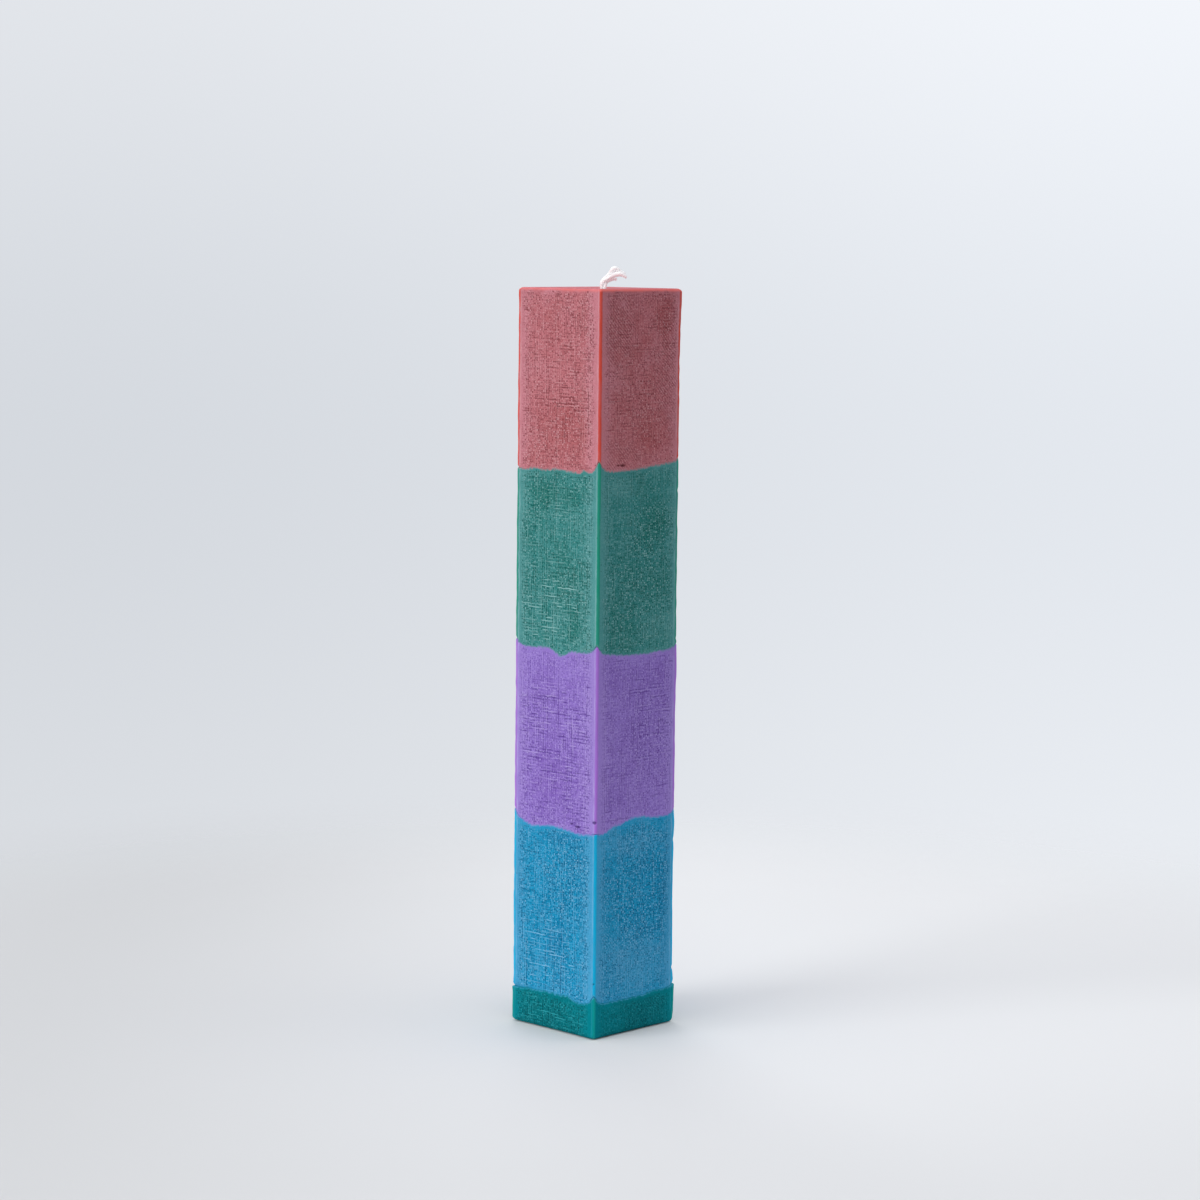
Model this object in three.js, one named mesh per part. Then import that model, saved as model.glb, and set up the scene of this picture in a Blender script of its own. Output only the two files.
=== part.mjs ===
import * as THREE from "three";

// A tall square pillar candle: five layers of coloured wax, poured one on another, round a cotton wick.
// Millimetres, +Z up. The origin is the centre of the flat foot.
// A place round the candle is one number from 0 to 4. Its whole part is the face, in the order -Y, +X, +Y
// and -X, and the rest is how far along that face it lies, so that the upright edges stand at 0, 1, 2 and 3.

// Body
const SIDE = 50; // across two opposite faces, above the base layer
const EDGE_RADIUS = 1.1; // the four upright edges
const BASE_PROUD = 0.4; // the base layer stands out past the others by this on each face
const FOOT_RADIUS = 2.2; // rounded edge round the foot
const RIM_RADIUS = 1.5; // rounded edge round the top
const FACE_HOLLOW = 0.3; // the middle of each face is drawn in by this, as wax is when it sets

// Depth of each pour, between the levels of its seams
const BASE_DEPTH = 15.5;
const BLUE_DEPTH = 74.5;
const VIOLET_DEPTH = 76;
const GREEN_DEPTH = 78;
const RED_DEPTH = 77.5;

// Seams between the pours
const SEAM_DISH = 1.2; // the middle of a pour sinks below its edge by this
const TOP_DISH = 0.4; // the same on the open top of the last pour
const CLIMB_REACH = 2.4; // the wax climbs into each corner, and falls away over this distance
const SHOULDER_INSET = 0.45; // the lowest edge of each pour is drawn in, which leaves a notch
const SHOULDER_HEIGHT = 1.3; // the pour is back at its full width this far above the seam
const LIP_INSET = 0.15; // the upper edge of each pour is eased
const LIP_HEIGHT = 0.8; // and the easing starts this far below the seam

// Wick
const STRAND_RADIUS = 0.55; // each of the cotton strands
const STRAND_GAP = 0.12; // clearance between two strands laid together
const STRAND_LAY = 40; // height of one turn of the strands round each other inside the wax
const WICK_X = 0.9; // the wick stands a little off the middle
const WICK_Y = 0.9;
const HOLE_CLEARANCE = 0.3; // between the strands and the wax
const WICK_RECESS = 0.6; // the wick is trimmed this far short of the foot
const WICK_LEAN = 45; // direction in which the free end leans, in degrees from +X towards +Y

// The wandering line of each seam: its level, the extra rise in each of the four corners, and how far it
// drifts from level, as pairs of a place and a rise.
const BASE_SEAM = {
  level: BASE_DEPTH,
  climb: [0.3, 4.3, 1.7, 1.6],
  drift: [
    [0.1, 0], [0.2, 0.6], [0.42, 0.9], [0.56, 0.6], [0.68, 1], [0.8, -0.9], [0.92, -1], [1.2, -0.6],
    [1.4, -0.7], [1.6, -0.5], [1.8, 0.3], [2.3, 0.2], [2.8, -0.4], [3.3, 0.4], [3.7, -0.2],
  ],
};
const BLUE_SEAM = {
  level: BASE_SEAM.level + BLUE_DEPTH,
  climb: [5.2, 0.5, 3.4, 2.2],
  drift: [
    [0.08, -0.2], [0.26, -1.4], [0.46, -0.2], [0.62, -0.6], [0.8, -1.5], [0.92, -1.4], [1.08, -1],
    [1.26, 2], [1.5, 4.4], [1.8, 2.6], [2.2, 1.6], [2.6, 0.6], [3.2, -0.8], [3.7, 0.4],
  ],
};
const VIOLET_SEAM = {
  level: BLUE_SEAM.level + VIOLET_DEPTH,
  climb: [3.2, 3.8, 2.1, 1.8],
  drift: [
    [0.12, 0.5], [0.4, 1.1], [0.56, -1.6], [0.7, 0.8], [0.92, 0.8], [1.1, 0.4], [1.34, -0.7],
    [1.65, -0.9], [2.1, -0.2], [2.5, 0.8], [3, 0.2], [3.5, -0.6],
  ],
};
const GREEN_SEAM = {
  level: VIOLET_SEAM.level + GREEN_DEPTH,
  climb: [0.5, 5, 2.4, 1.5],
  drift: [
    [0.1, -0.5], [0.22, 0.2], [0.34, -0.4], [0.5, 0.8], [0.68, 0], [0.76, -0.5], [0.82, 0.8],
    [0.92, -0.6], [1.1, 0.2], [1.45, 0.8], [1.7, 2.1], [1.9, 2.8], [2.3, 2.2], [2.7, 0.8],
    [3.2, -0.4], [3.6, 0.4],
  ],
};
const TOP_LEVEL = GREEN_SEAM.level + RED_DEPTH;

// Free end of each strand from the wax to its tip, as points [along the lean, to the side, above the top].
// lay is where the strand stands round the wick as it leaves the wax, in degrees from the lean.
const LONG_STRAND = {
  lay: 200,
  route: [
    [-0.72, -0.26, 0.8], [-0.6, -0.3, 2], [0.16, -0.4, 2.9], [1.1, -0.5, 3.6], [2.2, -0.5, 4.15],
    [3.25, -0.5, 4.75], [4.25, -0.5, 5.35], [5.4, -0.5, 5.75], [6.7, -0.45, 5.85], [8, -0.4, 5.65],
    [9.1, -0.3, 5.15], [10, -0.2, 4.5],
  ],
};
const HOOKED_STRAND = {
  lay: 80,
  route: [
    [-0.1, 0.8, 0.5], [-0.5, 0.93, 1.4], [-0.6, 0.95, 2.3], [-0.1, 0.85, 3.3], [0.8, 0.7, 4.2],
    [1.85, 0.6, 5], [2.75, 0.5, 5.85], [3.35, 0.45, 6.8], [3.85, 0.4, 7.6], [4.5, 0.45, 8.05],
    [5.25, 0.5, 8.1], [6.05, 0.55, 7.8], [6.8, 0.65, 7.25], [7.6, 0.75, 6.7], [8.5, 0.85, 6.35],
    [9.2, 0.9, 5.9],
  ],
};
const SHORT_STRAND = {
  lay: 320,
  route: [
    [0.8, -0.4, 0.4], [1, -0.15, 1.4], [1.3, 0.25, 2.2], [1.9, 0.55, 2.8], [2.7, 0.7, 3.2],
    [3.6, 0.7, 3.6], [4.5, 0.65, 3.8], [5.3, 0.6, 3.7], [5.85, 0.55, 3.35],
  ],
};

// Fineness of the facets
const FACE_MARKS = [-1, -0.94, -0.86, -0.74, -0.52, -0.27, 0, 0.27, 0.52, 0.74, 0.86, 0.94, 1];
const EDGE_STEPS = 4; // round each upright edge
const ROUND_STEPS = 3; // round the foot and the rim
const SEAM_SHARES = [0, 0.55, 0.9, 1]; // rows of a seam, from the wick hole to its outer edge
const SHOULDER_SHARES = [0.35, 1]; // rows of a shoulder above its seam
const WALL_SHARES = [0.1, 0.5, 0.9]; // rows of a wall between its shoulder and its lip
const STRAND_SIDES = 7;
const STEPS_PER_LAY = 10;
const JOINED_RINGS = 3; // rings inside the wax that the free end of a strand flows on from
const FREE_STEP = 0.7; // between two rings of a strand outside the wax

const { lerp, smoothstep, degToRad } = THREE.MathUtils;
const UP = new THREE.Vector3(0, 0, 1);
const LEAN = degToRad(WICK_LEAN);
const STRANDS = 3;
const LAY_RADIUS = (STRAND_RADIUS + STRAND_GAP / 2) / Math.sin(Math.PI / STRANDS);
const HOLE_RADIUS = LAY_RADIUS + STRAND_RADIUS + HOLE_CLEARANCE;
const HALF = SIDE / 2;
const FACES = 4;

// How far a seam's outer edge lies above its level at one place round the candle.
function seamRise(seam, place) {
  const after = Math.max(seam.drift.findIndex(([at]) => at > place), 0);
  const [highPlace, highRise] = seam.drift[after];
  const [lowPlace, lowRise] = seam.drift.at(after - 1);
  const span = (highPlace - lowPlace + FACES) % FACES;
  const passed = (place - lowPlace + FACES) % FACES;
  const corner = Math.round(place);
  const climb = seam.climb[corner % FACES] * Math.exp((-Math.abs(place - corner) * SIDE) / CLIMB_REACH);
  return lerp(lowRise, highRise, smoothstep(passed, 0, span)) + climb;
}

// The upright lines on which all the rows of the wax have their points. share runs from -1 to 1 over the
// flat of a face, and turn is the angle from that face towards the next one, round the upright edge.
function makeStations() {
  const flat = HALF - EDGE_RADIUS;
  const stations = [];
  for (let face = 0; face < FACES; face += 1) {
    const middle = face + 0.5;
    for (const share of FACE_MARKS) {
      stations.push({ face, share, turn: 0, place: middle + (share * flat) / SIDE });
    }
    for (let step = 1; step < EDGE_STEPS; step += 1) {
      const place = middle + (flat + (2 * EDGE_RADIUS * step) / EDGE_STEPS) / SIDE;
      stations.push({ face, share: 1, turn: (step / EDGE_STEPS) * (Math.PI / 2), place: place % FACES });
    }
  }
  return stations;
}

const STATIONS = makeStations();

// A station's point on a square outline with rounded edges and drawn-in faces, half its side across.
function outlinePoint({ face, share, turn }, half) {
  const flat = half - EDGE_RADIUS;
  const outward = flat + EDGE_RADIUS * Math.cos(turn) - FACE_HOLLOW * (1 - share ** 2);
  const sideways = flat * share + EDGE_RADIUS * Math.sin(turn);
  const quarter = (face - 1) * (Math.PI / 2);
  return new THREE.Vector2(outward, sideways).rotateAround(new THREE.Vector2(), quarter);
}

// One closed row of points round the candle. share is how far it lies from the wick hole, at 0, to the
// outline, at 1.
function makeRow(half, share, heightAt) {
  return STATIONS.map((station) => {
    const outer = outlinePoint(station, half);
    const angle = Math.atan2(outer.y - WICK_Y, outer.x - WICK_X);
    const x = lerp(WICK_X + HOLE_RADIUS * Math.cos(angle), outer.x, share);
    const y = lerp(WICK_Y + HOLE_RADIUS * Math.sin(angle), outer.y, share);
    return new THREE.Vector3(x, y, heightAt(station.place));
  });
}

// The surface where one pour lies on another, from the wick hole outwards. Both pours have these rows.
function seamRows(seam) {
  return SEAM_SHARES.map((share) =>
    makeRow(HALF - SHOULDER_INSET, share, (place) => {
      return seam.level + seamRise(seam, place) * share ** 2 - SEAM_DISH * (1 - share ** 2);
    }),
  );
}

// The lowest part of a pour's wall, drawn in where it meets the seam and swelling to its full width.
function shoulderRows(seam) {
  return SHOULDER_SHARES.map((share) =>
    makeRow(HALF - SHOULDER_INSET * (1 - share) ** 2, 1, (place) => {
      return seam.level + seamRise(seam, place) + SHOULDER_HEIGHT * share;
    }),
  );
}

// The long part of a pour's wall between two heights.
function wallRows(half, lowAt, highAt) {
  return WALL_SHARES.map((share) => makeRow(half, 1, (place) => lerp(lowAt(place), highAt(place), share)));
}

// The upper edge of a pour's wall, just below the seam.
function lipRows(seam, half) {
  const rows = [
    [0, LIP_HEIGHT],
    [LIP_INSET, LIP_INSET],
  ];
  return rows.map(([inset, drop]) =>
    makeRow(half - inset, 1, (place) => seam.level + seamRise(seam, place) - drop),
  );
}

// A quarter round from a flat face to the wall, at the foot or at the rim. sign is which way the wall goes.
function roundRows(half, radius, level, sign) {
  const rows = [];
  for (let step = 0; step <= ROUND_STEPS; step += 1) {
    const angle = (step / ROUND_STEPS) * (Math.PI / 2);
    const height = level + sign * radius * (1 - Math.cos(angle));
    rows.push(makeRow(half - radius * (1 - Math.sin(angle)), 1, () => height));
  }
  return rows;
}

// A mesh geometry from flat lists of corners and of triangles.
function toGeometry(points, triangles) {
  const geometry = new THREE.BufferGeometry().setFromPoints(points);
  geometry.setIndex(triangles);
  geometry.computeVertexNormals();
  return geometry;
}

// A solid ring of wax round the wick hole. outRows go from the hole out underneath and up the wall, and
// backRows over the top to the hole again. The squares of backRows are cut along the other diagonal, so
// that two pours that share a seam also share its triangles.
function waxGeometry(outRows, backRows) {
  const rows = [...outRows, ...backRows];
  const around = STATIONS.length;
  const triangles = [];
  rows.forEach((row, level) => {
    const above = (level + 1) % rows.length;
    for (let place = 0; place < around; place += 1) {
      const beside = (place + 1) % around;
      const [a, b] = [level * around + place, level * around + beside];
      const [c, d] = [above * around + beside, above * around + place];
      const squares = level < outRows.length ? [a, b, c, a, c, d] : [a, b, d, b, c, d];
      triangles.push(...squares);
    }
  });
  return toGeometry(rows.flat(), triangles);
}

function baseLayer() {
  const half = HALF + BASE_PROUD;
  const foot = [makeRow(half - FOOT_RADIUS, 0, () => 0), ...roundRows(half, FOOT_RADIUS, 0, 1)];
  return waxGeometry([...foot, ...lipRows(BASE_SEAM, half)], seamRows(BASE_SEAM).reverse());
}

function middleLayer(low, high) {
  const lowAt = (place) => low.level + seamRise(low, place) + SHOULDER_HEIGHT;
  const highAt = (place) => high.level + seamRise(high, place) - LIP_HEIGHT;
  const wall = [...shoulderRows(low), ...wallRows(HALF, lowAt, highAt), ...lipRows(high, HALF)];
  return waxGeometry([...seamRows(low), ...wall], seamRows(high).reverse());
}

function topLayer(low) {
  const lowAt = (place) => low.level + seamRise(low, place) + SHOULDER_HEIGHT;
  const wall = [...shoulderRows(low), ...wallRows(HALF, lowAt, () => TOP_LEVEL - RIM_RADIUS)];
  const rim = roundRows(HALF, RIM_RADIUS, TOP_LEVEL, -1).reverse();
  const inwards = SEAM_SHARES.slice(0, -1).reverse();
  const top = inwards.map((share) => {
    return makeRow(HALF - RIM_RADIUS, share, () => TOP_LEVEL - TOP_DISH * (1 - share ** 2));
  });
  return waxGeometry([...seamRows(low), ...wall, ...rim], top);
}

// The middle line of a strand: a long lay inside the wax, and then its own way outside.
function strandLine({ lay, route }) {
  const buried = [];
  const wickTop = TOP_LEVEL - TOP_DISH;
  const steps = Math.ceil(((wickTop - WICK_RECESS) / STRAND_LAY) * STEPS_PER_LAY);
  for (let step = 0; step <= steps; step += 1) {
    const height = lerp(WICK_RECESS, wickTop, step / steps);
    const angle = LEAN + degToRad(lay + (360 * (height - wickTop)) / STRAND_LAY);
    const x = WICK_X + LAY_RADIUS * Math.cos(angle);
    const y = WICK_Y + LAY_RADIUS * Math.sin(angle);
    buried.push(new THREE.Vector3(x, y, height));
  }
  const free = route.map(([along, aside, above]) => {
    const place = new THREE.Vector3(along, aside, above).applyAxisAngle(UP, LEAN);
    return place.add(new THREE.Vector3(WICK_X, WICK_Y, TOP_LEVEL));
  });
  const curve = new THREE.CatmullRomCurve3([...buried.slice(-JOINED_RINGS), ...free], false, "centripetal");
  const bend = curve.getSpacedPoints(Math.ceil(curve.getLength() / FREE_STEP));
  return [...buried.slice(0, -JOINED_RINGS), ...bend];
}

// A round strand along its middle line, with flat ends.
function strandGeometry(strand) {
  const line = strandLine(strand);
  const aside = new THREE.Vector3(-Math.sin(LEAN), Math.cos(LEAN), 0);
  const points = [];
  const triangles = [];
  line.forEach((centre, index) => {
    const before = line[Math.max(index - 1, 0)];
    const after = line[Math.min(index + 1, line.length - 1)];
    const ahead = after.clone().sub(before).normalize();
    const across = aside.clone().addScaledVector(ahead, -aside.dot(ahead)).normalize();
    const up = ahead.clone().cross(across);
    for (let side = 0; side < STRAND_SIDES; side += 1) {
      const angle = (side / STRAND_SIDES) * Math.PI * 2;
      const point = centre.clone().addScaledVector(across, STRAND_RADIUS * Math.cos(angle));
      points.push(point.addScaledVector(up, STRAND_RADIUS * Math.sin(angle)));
    }
  });
  for (let ring = 0; ring < line.length - 1; ring += 1) {
    for (let side = 0; side < STRAND_SIDES; side += 1) {
      const a = ring * STRAND_SIDES + side;
      const b = ring * STRAND_SIDES + ((side + 1) % STRAND_SIDES);
      triangles.push(a, b, b + STRAND_SIDES, a, b + STRAND_SIDES, a + STRAND_SIDES);
    }
  }
  const last = (line.length - 1) * STRAND_SIDES;
  for (let side = 1; side < STRAND_SIDES - 1; side += 1) {
    triangles.push(0, side + 1, side, last, last + side, last + side + 1);
  }
  return toGeometry(points, triangles);
}

// Wax is a little glossy under its bloom, and cotton is quite dull.
function wax(color) {
  return new THREE.MeshStandardMaterial({ color, roughness: 0.5, metalness: 0 });
}

function cotton() {
  return new THREE.MeshStandardMaterial({ color: 0xf4f4f1, roughness: 0.95, metalness: 0 });
}

function piece(name, geometry, material) {
  const mesh = new THREE.Mesh(geometry, material);
  mesh.name = name;
  return mesh;
}

const group = new THREE.Group();
group.add(piece("base_layer", baseLayer(), wax(0x067a80)));
group.add(piece("blue_layer", middleLayer(BASE_SEAM, BLUE_SEAM), wax(0x2a90bd)));
group.add(piece("violet_layer", middleLayer(BLUE_SEAM, VIOLET_SEAM), wax(0x8f72c6)));
group.add(piece("green_layer", middleLayer(VIOLET_SEAM, GREEN_SEAM), wax(0x3f8483)));
group.add(piece("red_layer", topLayer(GREEN_SEAM), wax(0xb6666c)));
group.add(piece("wick_strand_long", strandGeometry(LONG_STRAND), cotton()));
group.add(piece("wick_strand_hooked", strandGeometry(HOOKED_STRAND), cotton()));
group.add(piece("wick_strand_short", strandGeometry(SHORT_STRAND), cotton()));

export default group;
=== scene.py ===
import math
from types import SimpleNamespace

import bpy
import numpy as np
from mathutils import Matrix, Vector


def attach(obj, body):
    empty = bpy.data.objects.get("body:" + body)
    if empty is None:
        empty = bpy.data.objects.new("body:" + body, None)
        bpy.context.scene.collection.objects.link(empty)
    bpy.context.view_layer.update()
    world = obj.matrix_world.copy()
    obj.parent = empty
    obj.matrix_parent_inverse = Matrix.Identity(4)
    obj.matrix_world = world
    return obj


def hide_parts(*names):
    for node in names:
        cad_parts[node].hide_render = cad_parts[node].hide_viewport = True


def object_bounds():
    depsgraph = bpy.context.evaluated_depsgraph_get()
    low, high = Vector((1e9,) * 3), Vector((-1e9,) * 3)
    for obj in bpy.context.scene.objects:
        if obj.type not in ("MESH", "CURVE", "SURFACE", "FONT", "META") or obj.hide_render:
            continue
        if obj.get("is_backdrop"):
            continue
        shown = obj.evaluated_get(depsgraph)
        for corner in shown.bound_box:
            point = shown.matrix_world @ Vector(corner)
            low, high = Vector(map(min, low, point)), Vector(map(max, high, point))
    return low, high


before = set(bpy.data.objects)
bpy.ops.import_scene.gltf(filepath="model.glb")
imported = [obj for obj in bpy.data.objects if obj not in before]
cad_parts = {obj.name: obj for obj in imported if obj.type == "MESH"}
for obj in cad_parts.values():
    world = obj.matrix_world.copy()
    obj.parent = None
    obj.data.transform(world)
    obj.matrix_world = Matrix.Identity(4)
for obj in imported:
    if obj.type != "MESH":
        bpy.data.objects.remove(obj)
cad_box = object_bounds()

# A tall square pillar candle in five layers of wax. All lengths are millimetres until a mesh is made.
# A place round the candle is one number from 0 to 4. Its whole part is the face, in the order -Y, +X, +Y
# and -X, and the rest is how far along that face it lies, so that the upright edges stand at 0, 1, 2 and 3.
MM = 0.001

# Body
SIDE = 50  # across two opposite faces, above the base layer
EDGE_RADIUS = 1.1  # the four upright edges
BASE_PROUD = 0.4  # the base layer stands out past the others by this on each face
FOOT_RADIUS = 2.2  # rounded edge round the foot
RIM_RADIUS = 1.5  # rounded edge round the top
FACE_HOLLOW = 0.3  # the middle of each face is drawn in by this
HALF = SIDE / 2
FACES = 4

# Seams between the pours
SEAM_DISH = 1.2  # the middle of a pour sinks below its edge by this
TOP_DISH = 0.4  # the same on the open top of the last pour
CLIMB_REACH = 2.1  # the wax climbs into each corner over this distance
CLIMB_ROUND = 0.8  # and the top of its climb is rounded over this one
SHOULDER_INSET = 0.45  # the lowest edge of each pour is drawn in at the corners, which leaves a notch
FACE_NOTCH = 0.1  # share of that notch left in the middle of a face
NOTCH_REACH = 2.5  # the notch fades out over this distance from a corner
SHOULDER_HEIGHT = 1.3  # the pour is back at its full width this far above the seam
LIP_HEIGHT = 0.8  # the upper edge of each pour is rounded over from this far below the seam
SEAM_RIPPLES = [(8, 0.25), (3.2, 0.13)]  # fine wander of each seam: length and height of its ripples

# Wick
STRAND_COUNT = 3
STRAND_RADIUS = 0.55  # each of the cotton strands
STRAND_GAP = 0.12  # clearance between two strands laid together
STRAND_LAY = 40  # height of one turn of the strands round each other inside the wax
WICK_X = 0.9  # the wick stands a little off the middle
WICK_Y = 0.9
HOLE_CLEARANCE = 0.3  # between the strands and the wax
WICK_RECESS = 0.6  # the wick is trimmed this far short of the foot
WICK_LEAN = math.radians(45)  # direction in which the free end leans, from +X towards +Y
LAY_RADIUS = (STRAND_RADIUS + STRAND_GAP / 2) / math.sin(math.pi / STRAND_COUNT)
HOLE_RADIUS = LAY_RADIUS + STRAND_RADIUS + HOLE_CLEARANCE

# The wandering line of each seam: its level, the extra rise in each of the four corners, and how far it
# drifts from level, as pairs of a place and a rise.
BASE_SEAM = dict(
    level=15.5,
    climb=[0.3, 4.3, 1.7, 1.6],
    drift=[
        (0.1, 0), (0.2, 0.6), (0.42, 0.9), (0.56, 0.6), (0.68, 1), (0.8, -0.9), (0.92, -1), (1.2, -0.6),
        (1.4, -0.7), (1.6, -0.5), (1.8, 0.3), (2.3, 0.2), (2.8, -0.4), (3.3, 0.4), (3.7, -0.2),
    ],
)
BLUE_SEAM = dict(
    level=90,
    climb=[5.2, 0.5, 3.4, 2.2],
    drift=[
        (0.08, -0.2), (0.26, -1.4), (0.46, -0.2), (0.62, -0.6), (0.8, -1.5), (0.92, -1.4), (1.08, -1),
        (1.26, 2), (1.5, 4.4), (1.8, 2.6), (2.2, 1.6), (2.6, 0.6), (3.2, -0.8), (3.7, 0.4),
    ],
)
VIOLET_SEAM = dict(
    level=166,
    climb=[3.2, 3.8, 2.1, 1.8],
    drift=[
        (0.12, 0.5), (0.4, 1.1), (0.56, -1.6), (0.7, 0.8), (0.92, 0.8), (1.1, 0.4), (1.34, -0.7),
        (1.65, -0.9), (2.1, -0.2), (2.5, 0.8), (3, 0.2), (3.5, -0.6),
    ],
)
GREEN_SEAM = dict(
    level=244,
    climb=[0.5, 5, 2.4, 1.5],
    drift=[
        (0.1, -0.5), (0.22, 0.2), (0.34, -0.4), (0.5, 0.8), (0.68, 0), (0.76, -0.5), (0.82, 0.8),
        (0.92, -0.6), (1.1, 0.2), (1.45, 0.8), (1.7, 2.1), (1.9, 2.8), (2.3, 2.2), (2.7, 0.8), (3.2, -0.4),
        (3.6, 0.4),
    ],
)
TOP_LEVEL = 321.5

# Print of the coarse cloth that lined the mould
THREAD_PITCH = 1.35  # both ways
FINER_THREADS = 1.5  # of the plain weave behind the coarse threads, to each of them
TWILL_PITCH = 1.15  # between the slanting ridges where the print is of the cloth's twill
GROOVE_DEPTH = 0.07  # between two weft threads
THREAD_HEIGHT = 0.04  # of a weft thread that stands out
SLUB_HEIGHT = 0.04  # of a thick warp thread
DASH_LENGTH = 3  # the grooves are broken up over this distance
WEFT_RUN = 11  # and a groove comes and goes over this one
STREAK_LENGTH = 6  # the same for the prints of the warp threads
WARP_RUN = 22
SLUB_WIDTH = 0.5
SLUBS = [  # thick warp threads, as pairs of a place and a strength
    (0.36, 0.2), (0.8, 0.7), (0.55, 0.15), (1.31, 0.2), (1.64, 0.15), (2.22, 0.5), (2.7, 0.3),
    (3.4, 0.5), (3.58, 0.2),
]
PRINT_BY_FACE = [1.25, 0.9, 1.1, 1]  # how clearly the cloth printed on each face
PRINT_BORDER = (0.8, 4.5)  # the print sets in between these distances from an upright edge
PRINT_TOP = 3  # and over this one below the upper edge of a pour
BORDER_BLOOM = (1.5, 8.5)  # the pale border of a face fades out between these
LIP_BLOOM = 3  # the bloom under the upper edge of a pour falls away over this
SEAM_BLOOM = 1.2  # and that above its lower edge over this

# Wander and waves, as (strength, width, height, seed). Those of the threads are in thread pitches.
WEFT_WANDER = [(0.15, 14, 9, 71), (0.13, 2.5, 2, 72)]
WARP_WANDER = [(0.4, 9, 20, 73)]
TWILL_WANDER = [(0.3, 6, 6, 77)]
FACE_WAVES = [(0.09, 13, 17, 82), (0.03, 4, 5, 83)]
BEAD_WAVES = [(0.12, 20, 3.5, 84)]
BEAD_WOBBLE = [(0.12, 20, 2.4, 4), (0.1, 20, 0.9, 7)]  # its seeds are counted from that of the pour

# Bare, glossy bead along each of the four upright edges: where it starts and stops, counted along the
# surface from the middle of the edge, and where the painted highlight, a pale line beside it, runs
BEADS = [(-1, 1.4, 2.1), (-0.5, 1.2, -1.05), (-1.8, 1, -2.6), (-1, 1, 1.7)]
BEAD_START = (-0.2, 0.15)  # how softly it sets in
BEAD_STOP = (0.25, -0.15)
HIGHLIGHT_WIDTH = 0.32
GLINT_WIDTH = 0.9  # painted highlight: the pale spot where a climb ends in an upright edge
GLINT_HEIGHT = 0.5
GLINT_LEVEL = 0.35  # its middle, above the seam
GLINT_STRENGTH = 1.2
TOP_BARE = 0.75  # how bare and how pale the open top is
TOP_BLOOM = 0.25
RIM_BEAD = 0.9  # the bare rim reaches this far down from the top
RIM_STRENGTHS = (0.5, 0.8)  # how bare it is over -Y and +Y, and over the other two faces; the less bare rim over -Y and +Y is paler, as painted reflection
# painted reflection: the whole rim is made a little paler by this much
RIM_REFLECTION = 0.3
FAR = 9  # distances to a seam are counted up to this one

# Where the edges stand out from the plain outline, or in from it, as (place, height, half width, half
# height, rise)
SWELLS = [
    (0, 150, 6, 60, 0.2), (0, 55, 6, 40, 0.4), (2, 325, 5, 22, 0.75), (2, 159, 5, 12, 0.35),
    (2, 88, 5, 4, 0.3), (2, 56, 5, 8, -0.25), (2, 4, 6, 16, -0.2), (1, 200, 3, 60, 0.05),
    (2, 19.5, 5, 3.5, 0.3), (0, 17, 5, 3, 0.3), (0, 11, 5, 5, -0.25), (2, 2, 5, 2.5, -0.45),
]
WORN_EDGE = 2  # the upright edge that is worn back all the way up
WORN_DEPTH = 0.45
WORN_WIDTH = 2.5
WORN_FROM = (14, 30)  # the wear sets in between these heights

# Dents, as (place, height, half width, half height, depth). Their depth also paints them darker, as painted
# shade
DENTS = [
    (0.706, 92.4, 1.3, 0.4, 0.7), (0.779, 91.5, 1.5, 0.5, 0.9), (0.99, 94.6, 1.4, 0.6, 1),
    (1.243, 246.9, 0.9, 0.45, 0.7), (1.3, 246.8, 1.4, 0.55, 0.9), (0.954, 247.4, 0.6, 0.4, 0.5),
    (1.736, 167, 0.5, 0.4, 0.5), (1.37, 305.9, 0.5, 0.5, 0.4), (1.766, 294.5, 0.9, 0.4, 0.4),
    (0.207, 283.7, 0.5, 0.5, 0.4), (0.853, 291.6, 0.5, 0.8, 0.35), (1, 24.4, 0.7, 0.6, 0.5),
    (2, 249, 2, 0.8, 0.35), (2, 234.7, 2, 0.9, 0.35), (2, 170.2, 2, 0.7, 0.3), (2, 81.5, 2, 1.2, 0.35),
    (2, 24.4, 2, 0.8, 0.5), (2, 18.1, 2, 0.6, 0.3), (2.45, 91.6, 0.8, 0.4, 0.5),
    (2.9, 246, 1, 0.5, 0.5), (3.3, 205, 0.5, 0.5, 0.4), (3.7, 134, 0.7, 0.5, 0.4),
]

# Fineness of the meshes
FACE_STEPS = 84  # columns along each face
EDGE_STEPS = 6  # round each upright edge
EDGE_CROWDING = 0.4  # how much closer together the columns stand near the edges
ROW_STEP = 0.3  # between two rows of a wall
ROUND_STEPS = 7  # rows round the foot, the rim and a lip
SEAM_SHARES = [0, 0.4, 0.8, 0.95, 1]  # rows of a seam, from the wick hole to its outer edge
TOP_ROWS = 60  # rows of the open top


def colour(red, green, blue):
    """A colour written as it shows on a screen, as the linear values that a shader takes."""
    levels = [value / 255 for value in (red, green, blue)]
    return [v / 12.92 if v <= 0.04045 else ((v + 0.055) / 1.055) ** 2.4 for v in levels] + [1.0]


# Soft patterns, made from seeded random numbers
PATTERN_HEIGHT = 360  # past the top of the candle
THREAD_COUNT = 600  # more than there are threads
THREAD_LENGTH = 400
SPARE_THREADS = 20  # below the foot, where the count of a thread may fall under 0


def smooth(low, high, value):
    """0 below low, 1 above high, and an even curve between them."""
    t = np.clip((value - low) / (high - low), 0, 1)
    return t * t * (3 - 2 * t)


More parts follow.
